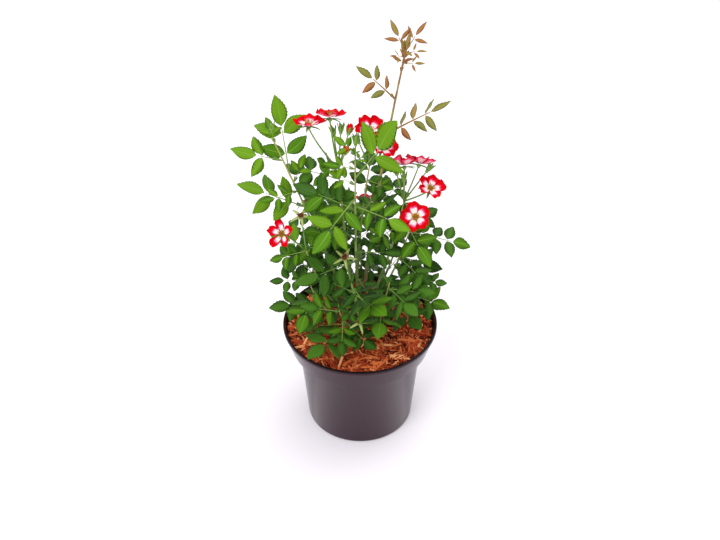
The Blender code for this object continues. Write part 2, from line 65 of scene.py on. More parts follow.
COLLAR_HEIGHT = 0.031
COLLAR_FOOT_RADIUS = 0.0865
SHOULDER_RADIUS = 0.0765
BASE_RADIUS = 0.067
WALL = 0.0016
LIP = 0.0032
LIP_DEPTH = 0.0012
DRAIN_HOLES = 6
DRAIN_HOLE_RADIUS = 0.0045
DRAIN_RING_RADIUS = 0.048
DRAIN_HOLE_SIDES = 24
POT_SIDES = 120
ROUND_OVER = math.radians(40)
DARK_PLASTIC = (0.021, 0.0018, 0.009, 1)
PALE_PLASTIC = (0.027, 0.0030, 0.012, 1)
# Painted shade: the near-black given to the pot's lip and inside.
PAINTED_SHADE_BLACK = (0.009, 0.005, 0.007, 1)

shoulder = POT_HEIGHT - COLLAR_HEIGHT
pot_rings = [
    (BASE_RADIUS - 0.0020, 0),
    (BASE_RADIUS - 0.0004, 0.0010),
    (BASE_RADIUS + 0.0003, 0.0030),
    (SHOULDER_RADIUS - 0.0002, shoulder - 0.0024),
    (SHOULDER_RADIUS + 0.0008, shoulder - 0.0009),
    (COLLAR_FOOT_RADIUS - 0.0012, shoulder),
    (COLLAR_FOOT_RADIUS - 0.0002, shoulder + 0.0006),
    (COLLAR_FOOT_RADIUS + 0.0002, shoulder + 0.0018),
    (RIM_RADIUS - 0.0012, POT_HEIGHT - 0.0054),
    (RIM_RADIUS - 0.0003, POT_HEIGHT - 0.0049),
    (RIM_RADIUS, POT_HEIGHT - 0.0040),
    (RIM_RADIUS, POT_HEIGHT - 0.0014),
    (RIM_RADIUS - 0.0003, POT_HEIGHT - 0.0005),
    (RIM_RADIUS - 0.0012, POT_HEIGHT),
    (RIM_RADIUS - LIP + 0.0009, POT_HEIGHT),
    (RIM_RADIUS - LIP + 0.0003, POT_HEIGHT - 0.0008),
    (RIM_RADIUS - LIP, POT_HEIGHT - 0.002),
    (COLLAR_FOOT_RADIUS - WALL, shoulder + 0.004),
    (SHOULDER_RADIUS - WALL, shoulder),
    (BASE_RADIUS - WALL, WALL),
]
bpy.ops.object.select_all(action="DESELECT")
bpy.ops.mesh.primitive_circle_add(
    vertices=POT_SIDES, radius=pot_rings[0][0], fill_type="NGON", location=(0, 0, 0)
)
pot = bpy.context.object
pot.name = "nursery_pot"
bpy.ops.object.mode_set(mode="EDIT")
for (last_radius, last_height), (radius, height) in zip(pot_rings, pot_rings[1:]):
    bpy.ops.mesh.extrude_region_move(TRANSFORM_OT_translate={"value": (0, 0, height - last_height)})
    widening = radius / last_radius
    bpy.ops.transform.resize(value=(widening, widening, 1), center_override=(0, 0, height))
bpy.ops.mesh.select_all(action="SELECT")
bpy.ops.mesh.normals_make_consistent(inside=False)
bpy.ops.object.mode_set(mode="OBJECT")
for i in range(DRAIN_HOLES):
    turn = math.tau * (i + 0.5) / DRAIN_HOLES
    bpy.ops.mesh.primitive_cylinder_add(
        vertices=DRAIN_HOLE_SIDES, radius=DRAIN_HOLE_RADIUS, depth=0.01,
        location=(DRAIN_RING_RADIUS * math.cos(turn), DRAIN_RING_RADIUS * math.sin(turn), 0),
    )
    hole = bpy.context.object
    hole.name = f"drain_cutter_{i}"
    cut = pot.modifiers.new(f"drain hole {i}", "BOOLEAN")
    cut.operation = "DIFFERENCE"
    cut.object = hole
bpy.ops.object.select_all(action="DESELECT")
pot.select_set(True)
bpy.context.view_layer.objects.active = pot
for modifier in list(pot.modifiers):
    bpy.ops.object.modifier_apply(modifier=modifier.name)
for i in range(DRAIN_HOLES):
    bpy.data.objects.remove(bpy.data.objects[f"drain_cutter_{i}"])
bpy.ops.object.shade_smooth_by_angle(angle=ROUND_OVER)


def add_node(tree, kind, values=(), stops=()):
    """A new shader node of a material, with its inputs' values and its colour ramp's stops."""
    node = tree.nodes.new(kind)
    for name, value in dict(values).items():
        node.inputs[name].default_value = value
    for i, (position, colour) in enumerate(stops):
        node.color_ramp.elements[i].position = position
        node.color_ramp.elements[i].color = colour
    return node


# Slow patches vary the wall's tint and gloss, as handling does, and fine grain roughens it a little.
plastic = bpy.data.materials.new("pot_plastic")
plastic.use_nodes = True
tree, links = plastic.node_tree, plastic.node_tree.links
shader = tree.nodes["Principled BSDF"]
shader.inputs["Specular IOR Level"].default_value = 0.29
spot = add_node(tree, "ShaderNodeTexCoord")
handled = add_node(tree, "ShaderNodeTexNoise", {"Scale": 14, "Detail": 5})
tint = add_node(tree, "ShaderNodeValToRGB", stops=((0.35, DARK_PLASTIC), (0.72, PALE_PLASTIC)))
gloss = add_node(
    tree, "ShaderNodeMapRange", {"From Min": 0.3, "From Max": 0.7, "To Min": 0.17, "To Max": 0.21}
)
grain = add_node(tree, "ShaderNodeTexNoise", {"Scale": 700})
relief = add_node(tree, "ShaderNodeBump", {"Strength": 0.02, "Distance": 0.0002})
links.new(spot.outputs["Object"], handled.inputs["Vector"])
links.new(handled.outputs["Fac"], tint.inputs["Fac"])
links.new(tint.outputs["Color"], shader.inputs["Base Color"])
links.new(handled.outputs["Fac"], gloss.inputs["Value"])
links.new(gloss.outputs["Result"], shader.inputs["Roughness"])
links.new(spot.outputs["Object"], grain.inputs["Vector"])
links.new(grain.outputs["Fac"], relief.inputs["Height"])
links.new(relief.outputs["Normal"], shader.inputs["Normal"])
pot.data.materials.append(plastic)

# Painted shade: the rolled lip and the inside, which the mulch shades, are painted a duller, darker
# black, as if in shadow.
painted_shade_plastic = plastic.copy()
painted_shade_plastic.name = "pot_lip_plastic"
shader = painted_shade_plastic.node_tree.nodes["Principled BSDF"]
shader.inputs["Specular IOR Level"].default_value = 0.10
for stop in painted_shade_plastic.node_tree.nodes["Color Ramp"].color_ramp.elements:
    stop.color = PAINTED_SHADE_BLACK
pot.data.materials.append(painted_shade_plastic)
# Painted shade: the inward faces and the top of the lip take the darker material.
for face in pot.data.polygons:
    inward = face.normal.xy.dot(face.center.xy) < 0
    if inward or face.center.z > POT_HEIGHT - LIP_DEPTH:
        face.material_index = 1
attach(pot, "root")
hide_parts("pot")


# ---------------------------------------------------------------------------------------------
# The bark mulch: thousands of split chips and crumbs over dark compost, in six plain shades dealt
# out at random: five of orange-brown, and a near-black one that is painted shade for the shadowed
# gaps between the chips. They lie a little tilted, and stay inside the rim.
# ---------------------------------------------------------------------------------------------
MULCH_LEVEL = 0.1395
MULCH_FALL = 0.0030
MULCH_RADIUS = 0.0885
CHIP_REACH = MULCH_RADIUS + 0.0015
CHIPS = 5200
CRUMB_SHARE = 0.32
LARGE_EVERY = 26
CHIP_FACES = 6
CHIP_SHADES = [
    (0.300, 0.034, 0.009), (0.480, 0.070, 0.018), (0.700, 0.165, 0.044), (0.980, 0.430, 0.175),
    (0.060, 0.006, 0.003), (0.400, 0.050, 0.013),
]
# Painted shade: the fifth shade, near-black, stands in for the gaps between chips; small chips and crumbs
# get it far more often than large ones.
SHADE_WEIGHTS = (24, 22, 17, 7, 14, 16)
LARGE_SHADE_WEIGHTS = (4, 20, 30, 12, 1, 10)
WET_EARTH = (0.045, 0.010, 0.004, 1)
DRY_EARTH = (0.180, 0.042, 0.012, 1)


def piece_of(name, heap, colours, roughness, shine):
    """One mesh object of corners, faces and each face's colour, with plain finishes."""
    corners, faces, shades = heap
    mesh = bpy.data.meshes.new(name)
    mesh.from_pydata([tuple(corner) for corner in corners], [], faces)
    for i, colour in enumerate(colours):
        finish = bpy.data.materials.new(f"{name}_{i}")
        finish.use_nodes = True
        shader = finish.node_tree.nodes["Principled BSDF"]
        shader.inputs["Base Color"].default_value = (*colour, 1)
        shader.inputs["Roughness"].default_value = roughness
        shader.inputs["Specular IOR Level"].default_value = shine
        mesh.materials.append(finish)
    mesh.polygons.foreach_set("material_index", shades)
    mesh.polygons.foreach_set("use_smooth", [True] * len(faces))
    mesh.update()
    piece = bpy.data.objects.new(name, mesh)
    bpy.context.scene.collection.objects.link(piece)
    return piece


chance = random.Random("mulch")
corners, faces, shades = [], [], []
for n in range(CHIPS):
    away = MULCH_RADIUS * math.sqrt(chance.random())
    turn = chance.uniform(0, math.tau)
    crumb, large = chance.random() < CRUMB_SHARE, n % LARGE_EVERY == 0
    if crumb:
        long, wide = chance.uniform(0.0015, 0.0035), chance.uniform(0.0009, 0.0019)
    else:
        long = chance.triangular(0.004, 0.019, 0.007)
        wide = min(long * 0.32, chance.uniform(0.0008, 0.0026))
    if large:
        long, wide = chance.uniform(0.014, 0.028), chance.uniform(0.0024, 0.0054)
    thick = chance.uniform(0.0006, 0.0016)
    away = min(away, CHIP_REACH - long * 0.5)
    above = chance.uniform(0.0012, 0.0026) if large else chance.uniform(-0.0004, 0.0018)
    level = MULCH_LEVEL - MULCH_FALL * (away / MULCH_RADIUS) ** 2 + above
    place = Matrix.Translation((away * math.cos(turn), away * math.sin(turn), level))
    place = place @ Matrix.Rotation(chance.uniform(0, math.tau), 4, "Z")
    place = place @ Matrix.Rotation(chance.gauss(0, 0.15 if large else 0.22), 4, "Y")
    place = place @ Matrix.Rotation(chance.gauss(0, 0.42), 4, "X")
    skew = chance.uniform(-0.35, 0.35)
    taper = chance.uniform(0.35, 1.0)
    first = len(corners)
    for z, reach, breadth in ((-1, 0.5, 0.5), (1, 0.46, 0.42)):
        for x, y in ((-1, -1), (1, -taper), (1, taper), (-1, 1)):
            corner = (x * long * reach + y * wide * skew, y * wide * breadth, z * thick / 2)
            corners.append(place @ Vector(corner))
    for face in [(0, 3, 2, 1), (4, 5, 6, 7), (0, 1, 5, 4), (1, 2, 6, 5), (2, 3, 7, 6), (3, 0, 4, 7)]:
        faces.append([first + i for i in face])
    weights = LARGE_SHADE_WEIGHTS if large else SHADE_WEIGHTS
    shades += chance.choices(range(len(CHIP_SHADES)), weights=weights) * CHIP_FACES
chips = piece_of("bark_chips", (corners, faces, shades), CHIP_SHADES, roughness=0.8, shine=0.15)
for polygon in chips.data.polygons:
    polygon.use_smooth = False
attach(chips, "root")

compost = bpy.data.materials.new("compost")
compost.use_nodes = True
tree, links = compost.node_tree, compost.node_tree.links
shader = tree.nodes["Principled BSDF"]
shader.inputs["Roughness"].default_value = 0.95
spot = add_node(tree, "ShaderNodeTexCoord")
crumbs = add_node(tree, "ShaderNodeTexNoise", {"Scale": 420, "Detail": 6})
earth = add_node(tree, "ShaderNodeValToRGB", stops=((0.38, WET_EARTH), (0.66, DRY_EARTH)))
clods = add_node(tree, "ShaderNodeBump", {"Strength": 0.6, "Distance": 0.0008})
links.new(spot.outputs["Object"], crumbs.inputs["Vector"])
links.new(crumbs.outputs["Fac"], earth.inputs["Fac"])
links.new(earth.outputs["Color"], shader.inputs["Base Color"])
links.new(crumbs.outputs["Fac"], clods.inputs["Height"])
links.new(clods.outputs["Normal"], shader.inputs["Normal"])
medium = frame["nodes"]["growing_medium"]
medium.data.materials.clear()
medium.data.materials.append(compost)


# ---------------------------------------------------------------------------------------------
# The bush's shoots and the rule that its leaves and flowers follow: the same sizes, bearings and
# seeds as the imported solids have, so that every finer leaf grows where its solid one is.
# ---------------------------------------------------------------------------------------------
CLEAR = 0.0003
CROWN_RADIUS = 0.012
CROWN_CENTRE = Vector((0, 0, MULCH_LEVEL + 0.014))
FOOT_LENGTH = 0.003
RACHIS_SHARE = {3: 0.50, 5: 0.61, 7: 0.68}
PAIRS = {3: (0.40,), 5: (0.26, 0.53), 7: (0.20, 0.40, 0.60)}
PAIR_LEAFLET_SHARE = {3: 0.42, 5: 0.36, 7: 0.29}
PAIR_ANGLE = 67
SIZES = (1, 0.82, 0.66)
GOLDEN_ANGLE = 137.5
LIGHT = Vector((0, -0.55, 0.83))

Flower = namedtuple("Flower", "stage place bearing rise")
Leaf = namedtuple("Leaf", "at bearing rise length leaflets")
Shoot = namedtuple(
    "Shoot", "name foot bend tip radius bare leafy_to leaves first length rise_gain placed flowers"
)


def open_bloom(place, bearing, rise):
    """A bloom that faces the given way."""
    return Flower("open", place, bearing, rise)


def bud(place, bearing=90, rise=85):
    """A closed bud that points the given way."""
    return Flower("bud", place, bearing, rise)


def spent(place, bearing=90, rise=75):
    """A hip with its five sepals, after the petals have dropped."""
    return Flower("spent", place, bearing, rise)


# Each shoot leaves the crown at its foot, given as a bearing and a rise, bends once and ends at
# its tip. The share "bare" of its way is a bare cane. Its leaves follow a spiral from the bearing
# "first" up to the share "leafy_to", flatter at the bottom and steeper by "rise_gain" at the top.
# The placed leaves, each at a share of the way, stand out of that spiral and give the bush its
# outline.
SHOOTS = [
    Shoot(
        "leader", (62, 62), (0.017, 0.022, 0.325), (0.048, 0.020, 0.498), 0.0026, 0.20, 0.45,
        10, 40, 0.072, 20,
        [
            Leaf(0.71, 354, 34, 0.078, 7), Leaf(0.83, 176, 45, 0.056, 5), Leaf(0.985, 165, 68, 0.038, 3),
            Leaf(0.995, 12, 58, 0.036, 3), Leaf(0.92, 75, 62, 0.030, 3), Leaf(0.985, 350, 18, 0.022, 3),
            Leaf(0.955, 345, 4, 0.022, 3), Leaf(0.975, 205, 18, 0.017, 3),
        ],
        [],
    ),
    Shoot(
        "left_truss", (196, 66), (-0.016, -0.002, 0.250), (-0.024, 0.000, 0.368), 0.0021, 0.16,
        0.62, 11, 75, 0.074, 30,
        [
            Leaf(0.93, 168, 12, 0.062, 5), Leaf(0.97, 212, 42, 0.038, 3), Leaf(0.56, 214, 34, 0.076, 5),
            Leaf(0.64, 256, 30, 0.076, 5),
        ],
        [
            open_bloom((-0.0544, -0.008, 0.4248), 100, 82), open_bloom((-0.0320, 0.004, 0.4276), 85, 70),
            bud((-0.0113, 0.000, 0.4140)), bud((-0.0205, 0.006, 0.4120)),
            bud((-0.0151, -0.010, 0.3940), 300, 66), bud((-0.0287, 0.006, 0.4080), 150, 80),
        ],
    ),
    Shoot(
        "back_truss", (128, 62), (-0.004, 0.020, 0.250), (0.011, 0.016, 0.362), 0.0021, 0.18, 0.80,
        11, 150, 0.074, 25,
        [Leaf(0.90, 322, 4, 0.036, 5), Leaf(0.70, 60, 10, 0.056, 5)],
        [
            open_bloom((0.0103, 0.012, 0.4062), 285, 68), open_bloom((0.0245, 0.000, 0.3930), 318, 56),
            bud((-0.0030, 0.022, 0.3900), 140, 75),
        ],
    ),
    Shoot(
        "front_shoot", (262, 62), (-0.006, -0.030, 0.250), (-0.005, -0.031, 0.405), 0.0020, 0.16,
        0.74, 10, 20, 0.084, 30,
        [
            Leaf(0.89, 352, 57, 0.090, 3), Leaf(0.80, 238, -12, 0.084, 5), Leaf(0.76, 325, 2, 0.070, 5),
            Leaf(0.985, 175, 48, 0.030, 3), Leaf(0.93, 200, 22, 0.036, 3), Leaf(0.965, 285, 36, 0.028, 3),
            Leaf(0.86, 182, 34, 0.034, 3), Leaf(0.95, 25, 40, 0.026, 3),
        ],
        [bud((-0.0045, -0.032, 0.4190), 120, 80)],
    ),
    Shoot(
        "right_truss", (330, 60), (0.034, -0.008, 0.235), (0.050, 0.000, 0.325), 0.0022, 0.16, 0.66,
        11, 100, 0.070, 25,
        [Leaf(0.90, 300, -30, 0.070, 5), Leaf(0.80, 230, 4, 0.060, 5)],
        [
            open_bloom((0.0612, -0.034, 0.3243), 266, 36), open_bloom((0.0784, -0.004, 0.3420), 310, 66),
            open_bloom((0.0490, 0.006, 0.3665), 95, 54), open_bloom((0.0660, 0.012, 0.3650), 68, 50),
            bud((0.0396, -0.002, 0.3640), 160, 80), bud((0.0481, -0.012, 0.3620), 250, 80),
            bud((0.0770, 0.008, 0.3610), 20, 60),
        ],
    ),
    Shoot(
        "left_shoot", (170, 34), (-0.039, -0.004, 0.257), (-0.094, -0.012, 0.412), 0.0021, 0.16,
        0.70, 8, 110, 0.076, 20,
        [
            Leaf(0.84, 114, 70, 0.088, 5), Leaf(0.90, 190, 20, 0.058, 3), Leaf(0.68, 190, 30, 0.082, 5),
            Leaf(0.76, 214, 4, 0.046, 5), Leaf(0.97, 120, 50, 0.030, 3), Leaf(0.80, 60, 40, 0.034, 3),
        ],
        [bud((-0.0935, -0.012, 0.4230), 110, 80)],
    ),
    Shoot(
        "left_flowering_shoot", (205, 34), (-0.040, -0.026, 0.190), (-0.062, -0.026, 0.275), 0.0018,
        0.18, 0.92, 7, 300, 0.070, 20,
        [Leaf(0.98, 190, -8, 0.042, 5)],
        [open_bloom((-0.0873, -0.030, 0.2981), 238, 34), spent((-0.0649, -0.034, 0.3247), 262, 66)],
    ),
    Shoot(
        "low_left_shoot", (230, 26), (-0.044, -0.026, 0.165), (-0.062, -0.022, 0.232), 0.0017, 0.34,
        0.92, 5, 175, 0.064, 25,
        [Leaf(0.97, 192, 6, 0.044, 5), Leaf(0.62, 200, 16, 0.064, 5), Leaf(0.80, 258, 2, 0.066, 5)],
        [],
    ),
    Shoot(
        "front_left_shoot", (254, 28), (-0.016, -0.046, 0.165), (-0.024, -0.060, 0.212), 0.0017, 0.18,
        0.92, 5, 40, 0.068, 20,
        [Leaf(0.50, 234, 2, 0.074, 5), Leaf(0.97, 216, 34, 0.056, 5), Leaf(0.75, 268, -14, 0.050, 5)],
        [],
    ),
    Shoot(
        "low_front_shoot", (286, 30), (0.002, -0.044, 0.190), (-0.010, -0.054, 0.248), 0.0018, 0.18,
        0.92, 9, 262, 0.080, 20,
        [Leaf(0.64, 246, 8, 0.062, 5), Leaf(0.80, 298, 20, 0.072, 5)],
        [spent((-0.0171, -0.052, 0.2810), 262, 60), spent((0.0000, -0.074, 0.2060), 264, 56)],
    ),
    Shoot(
        "front_right_shoot", (314, 36), (0.026, -0.036, 0.185), (0.034, -0.044, 0.240), 0.0017, 0.38,
        0.92, 8, 60, 0.078, 20,
        [Leaf(0.60, 266, 12, 0.072, 5), Leaf(0.90, 326, 20, 0.064, 5)],
        [],
    ),
    Shoot(
        "low_right_shoot", (346, 28), (0.044, -0.020, 0.170), (0.066, -0.020, 0.232), 0.0018, 0.38,
        0.80, 5, 80, 0.058, 20,
        [Leaf(0.74, 332, 3, 0.056, 5), Leaf(0.95, 345, 4, 0.038, 5), Leaf(0.50, 292, 18, 0.068, 5)],
        [],
    ),
    Shoot(
        "right_shoot", (8, 40), (0.040, 0.006, 0.205), (0.058, -0.002, 0.286), 0.0019, 0.36, 0.92,
        7, 20, 0.068, 20,
        [Leaf(0.97, 357, -12, 0.074, 7), Leaf(0.70, 300, 4, 0.060, 5)],
        [],
    ),
    Shoot(
        "back_right_shoot", (36, 30), (0.036, 0.036, 0.190), (0.054, 0.048, 0.262), 0.0019, 0.18,
        0.92, 9, 10, 0.062, 20, [], [],
    ),
    Shoot(
        "back_shoot", (88, 30), (0.004, 0.054, 0.180), (-0.002, 0.078, 0.252), 0.0019, 0.18,
        0.92, 10, 60, 0.078, 20, [],
        [open_bloom((0.010, 0.098, 0.2560), 85, 45), bud((-0.014, 0.084, 0.2780))],
    ),
    Shoot(
        "back_left_shoot", (138, 30), (-0.036, 0.038, 0.190), (-0.054, 0.054, 0.256), 0.0019, 0.18,
        0.92, 10, 120, 0.066, 20, [],
        [spent((-0.064, 0.062, 0.2780), 130, 70)],
    ),
]


def direction(bearing, rise):
    """The unit vector of a bearing and a rise, both in degrees."""
    b, r = math.radians(bearing), math.radians(rise)
    return Vector((math.cos(b) * math.cos(r), math.sin(b) * math.cos(r), math.sin(r)))


def frame_at(place, along, roll=0.0):
    """A matrix at a place with its X along a direction and its Z as near the light as that lets it."""
    x = along.normalized()
    side = LIGHT.cross(x)
    if side.length < 0.05:
        side = Vector((0, 1, 0.2)).cross(x)
    y = side.normalized()
    z = x.cross(y)
    turn = Matrix((x, y, z)).transposed().to_4x4()
    return Matrix.Translation(place) @ turn @ Matrix.Rotation(roll, 4, "X")


def way(shoot, t):
    """A point on a shoot's way, from near its foot at 0 to its tip at 1."""
    foot = CROWN_CENTRE + direction(*shoot.foot) * (CROWN_RADIUS + CLEAR + FOOT_LENGTH)
    bend, tip = Vector(shoot.bend), Vector(shoot.tip)
    return foot * (1 - t) ** 2 + bend * 2 * t * (1 - t) + tip * t * t


def thickness(shoot, t):
    """A shoot's radius: it tapers to a third at its tip."""
    return shoot.radius * (1 - 0.66 * t)


def spiral_leaves(shoot):
    """The leaves of a shoot that follow its spiral, from the lowest up."""
    chance = random.Random(shoot.name)
    lowest = shoot.bare + 0.05
    for i in range(shoot.leaves):
        share = i / (shoot.leaves - 1)
        bearing = shoot.first + GOLDEN_ANGLE * i + chance.uniform(-12, 12)
        rise = -4 + shoot.rise_gain * share ** 1.5 + chance.uniform(-8, 8)
        length = shoot.length * (0.86 + 0.14 * math.sin(math.pi * share)) * chance.uniform(0.92, 1.08)
        yield Leaf(lowest + (shoot.leafy_to - lowest) * share, bearing, rise, length, 5)


def leaf_whorls(shoot, leaf, scale):
    """A leaf's length, its base frame, and each whorl's share of the length, frame and leaflet size."""
    length, count = leaf.length * scale, leaf.leaflets
    roll = random.Random(f"{shoot.name} {leaf.bearing:.3f}").uniform(-0.25, 0.25)
    base = frame_at(way(shoot, leaf.at), direction(leaf.bearing, leaf.rise), roll=roll)
    whorls = []
    for n, share in enumerate(PAIRS[count]):
        size = length * PAIR_LEAFLET_SHARE[count] * (0.84 + 0.16 * (n + 1) / len(PAIRS[count]))
        lean = Matrix.Translation((length * share, 0.00012, 0.00008)) @ Matrix.Rotation(0.05, 4, "X")
        whorls.append((share, base @ lean, size))
    return length, base, whorls


def leaf_scale(shoot, leaf, mass):
    """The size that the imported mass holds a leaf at, or None where it has been left out."""
    best, found = 0.0011, None
    for scale in SIZES:
        length, base, whorls = leaf_whorls(shoot, leaf, scale)
        share, last, size = whorls[-1]
        turn = math.radians(PAIR_ANGLE)
        tips = [Vector((length * (1 - share), 0, 0))]
        tips += [Vector((math.cos(turn), side * math.sin(turn), 0)) * size for side in (-1, 1)]
        off = max(mass.find_nearest(last @ tip)[3] for tip in tips)
        if off < best:
            best, found = off, scale
    return found


leaves_kept = []
for shoot in SHOOTS:
    source = frame["nodes"][shoot.name].data
    loops = [list(polygon.vertices) for polygon in source.polygons]
    mass = BVHTree.FromPolygons([corner.co for corner in source.vertices], loops)
    for kind, group in (("placed", shoot.placed), ("spiral", spiral_leaves(shoot))):
        for leaf in group:
            scale = leaf_scale(shoot, leaf, mass)
            if scale:
                leaves_kept.append((shoot, leaf, scale, kind))


# ---------------------------------------------------------------------------------------------
# The stem base and the canes: knobbly bark at the foot, smooth green rods above it with swollen
# leaf joints and hooked prickles, and the tall cane's red-brown upper half.
# ---------------------------------------------------------------------------------------------
CANE_SIDES = 12
CANE_RINGS = 44
JOINT_SWELL, JOINT_REACH, MOST_SWELL = 0.22, 0.012, 0.3
FOOT_FLARE, FLARE_REACH = 0.25, 0.04
BARK_BUMPS = 0.035
PRICKLES = 8
LEADER_PRICKLES = 15
PRICKLE_LENGTHS = (0.0022, 0.0042)
BARK_SHADES = [
    (0.098, 0.046, 0.020), (0.185, 0.105, 0.045), (0.140, 0.150, 0.045), (0.230, 0.340, 0.075),
    (0.115, 0.185, 0.042), (0.270, 0.125, 0.045), (0.230, 0.060, 0.030), (0.340, 0.360, 0.090),
    (0.036, 0.017, 0.009),
]
BROWN, TAN, OLD_GREEN, GREEN, PAINTED_SHADE_GREEN, RUSSET, PRICKLE, YOUNG, CRACK = range(9)
# Painted shade: the lower half of each cane takes a darker green, as if in the shadow of the leaves.
WOODY_TO, OLD_TO, PAINTED_SHADE_TO, GREEN_TO = 0.07, 0.16, 0.5, 0.75
RUSSET_FROM = 0.48


def add_skin(heap, first, rings, sides, shade):
    """Joins the rings of corners from number first on into a closed body; shade colours each face."""
    corners, faces, shades = heap
    for i in range(rings - 1):
        for k in range(sides):
            a, b = first + i * sides + k, first + i * sides + (k + 1) % sides
            faces.append((a, b, b + sides, a + sides))
            shades.append(shade(i, k))
    last = first + (rings - 1) * sides
    faces.append([first + k for k in range(sides)][::-1])
    faces.append([last + k for k in range(sides)])
    shades.extend([shade(0, 0), shade(rings - 2, 0)])


def grow_tube(heap, points, radii, sides, shade, relief=None):
    """Adds a closed tapering tube through points; relief gives its bumps."""
    corners, first = heap[0], len(heap[0])
    side = Vector((0.31, 0.83, 0.12))
    for i, (point, radius) in enumerate(zip(points, radii)):
        ahead = (points[min(i + 1, len(points) - 1)] - points[max(i - 1, 0)]).normalized()
        side = (side - ahead * side.dot(ahead)).normalized()
        up = ahead.cross(side)
        for k in range(sides):
            turn = math.tau * k / sides
            swell = relief(i, k) if relief else 1
            corners.append(point + (side * math.cos(turn) + up * math.sin(turn)) * radius * swell)
    add_skin(heap, first, len(points), sides, shade)


def bark_shade(shoot, t, chance):
    """The bark's colour along a shoot: brown at the foot, then green, darker on the lower half as painted
    shade, and russet on tall young wood.
    """
    if t < WOODY_TO:
        return BROWN if chance.random() < 0.7 else TAN
    if shoot.name == "leader" and t > RUSSET_FROM:
        return RUSSET if chance.random() < 1.6 * t - 0.6 else YOUNG
    if t < OLD_TO:
        return OLD_GREEN if chance.random() < 0.7 else TAN
    return PAINTED_SHADE_GREEN if t < PAINTED_SHADE_TO else GREEN if t < GREEN_TO else YOUNG


canes = ([], [], [])
for shoot in SHOOTS:
    chance = random.Random(shoot.name + " bark")
    joints = [leaf.at for owner, leaf, scale, kind in leaves_kept if owner is shoot]
    foot = CROWN_CENTRE + direction(*shoot.foot) * CROWN_RADIUS * 0.45
    shares = [i / (CANE_RINGS - 1) for i in range(CANE_RINGS)]
    points = [foot] + [way(shoot, t) for t in shares]
    radii = [shoot.radius * 1.25]
    for t in shares:
        swell = sum(JOINT_SWELL * math.exp(-((t - at) / JOINT_REACH) ** 2) for at in joints)
        flare = FOOT_FLARE * math.exp(-t / FLARE_REACH)
        radii.append(thickness(shoot, t) * (1 + min(swell, MOST_SWELL)) * (1 + flare))
    bumps = [[chance.gauss(0, BARK_BUMPS) for k in range(CANE_SIDES)] for i in range(CANE_RINGS + 1)]
    tones = [[bark_shade(shoot, t, chance) for k in range(CANE_SIDES)] for t in [0, *shares]]
    grow_tube(canes, points, radii, CANE_SIDES, lambda i, k: tones[i][k], lambda i, k: 1 + bumps[i][k])
    for n in range(LEADER_PRICKLES if shoot.name == "leader" else PRICKLES):
        t = chance.uniform(0.05, 0.80)
        along = (way(shoot, t + 0.01) - way(shoot, t)).normalized()
        out = frame_at(way(shoot, t), along, chance.uniform(0, math.tau)).to_3x3() @ Vector((0, 0, 1))
        start = way(shoot, t) + out * thickness(shoot, t) * 0.7
        long = chance.uniform(*PRICKLE_LENGTHS)
        middle = start + out * long * 0.55 - along * long * 0.10
        hook = [start, middle, start + out * long - along * long * 0.45]
        grow_tube(canes, hook, [long * 0.30, long * 0.15, 0.00004], 4, lambda i, k: PRICKLE)

# The stem base that they rise from: a flared stub, its bark cracked and knobbly.
CROWN_SIDES = 44
RINGS_BETWEEN = 3
KNOBS = 14
CRACK_BELOW = 0.34
WORN_ABOVE = 0.93
crown_outline = [
    (0.0149, 0.0001), (0.0146, 0.0018), (0.0122, 0.0040), (0.0102, 0.0062), (0.0110, 0.0088),
    (0.0119, 0.0116), (0.0121, 0.0145), (0.0116, 0.0178), (0.0104, 0.0208), (0.0082, 0.0236),
    (0.0052, 0.0256), (0.0020, 0.0264),
]
crown_profile = []
for (r, h), (next_r, next_h) in zip(crown_outline, crown_outline[1:]):
    for n in range(RINGS_BETWEEN):
        share = n / RINGS_BETWEEN
        crown_profile.append((r + (next_r - r) * share, h + (next_h - h) * share))
crown_profile.append(crown_outline[-1])
chance = random.Random("stem base")
knobs = [
    (chance.uniform(0, math.tau), chance.uniform(0.003, 0.022), chance.uniform(0.04, 0.12))
    for n in range(KNOBS)
]


def bark_ridge(i, k):
    """How high the bark stands, 0 in a crack and 1 on a ridge: the ridges run up and wander."""
    turn, height = math.tau * k / CROWN_SIDES, crown_profile[i][1]
    wander = 1.3 * math.sin(height * 330 + turn * 3) + 0.5 * math.sin(height * 900)
    return abs(math.sin(turn * 6 + wander))


def knobbly(i, k):
    """The stem base's relief: a few knobs and scars, and long cracks in its bark."""
    turn, height = math.tau * k / CROWN_SIDES, crown_profile[i][1]
    relief = 0.90 + 0.10 * bark_ridge(i, k) ** 0.5
    for at, level, size in knobs:
        round_by = (turn - at + math.pi) % math.tau - math.pi
        relief += size * math.exp(-(round_by / 0.35) ** 2 - ((height - level) / 0.003) ** 2)
    return relief * 0.98


def bark_tone(i, k):
    """The stem base's colour: dark in the cracks and paler where the ridges are worn."""
    ridge = bark_ridge(i, k)
    return CRACK if ridge < CRACK_BELOW else TAN if ridge > WORN_ABOVE else BROWN


grow_tube(
    canes, [Vector((0, 0, MULCH_LEVEL + h)) for r, h in crown_profile],
    [r for r, h in crown_profile], CROWN_SIDES, bark_tone, knobbly,
)
stems = piece_of("stems", canes, BARK_SHADES, roughness=0.55, shine=0.25)
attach(stems, "root")
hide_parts("stem_base", *[shoot.name + "_cane" for shoot in SHOOTS])


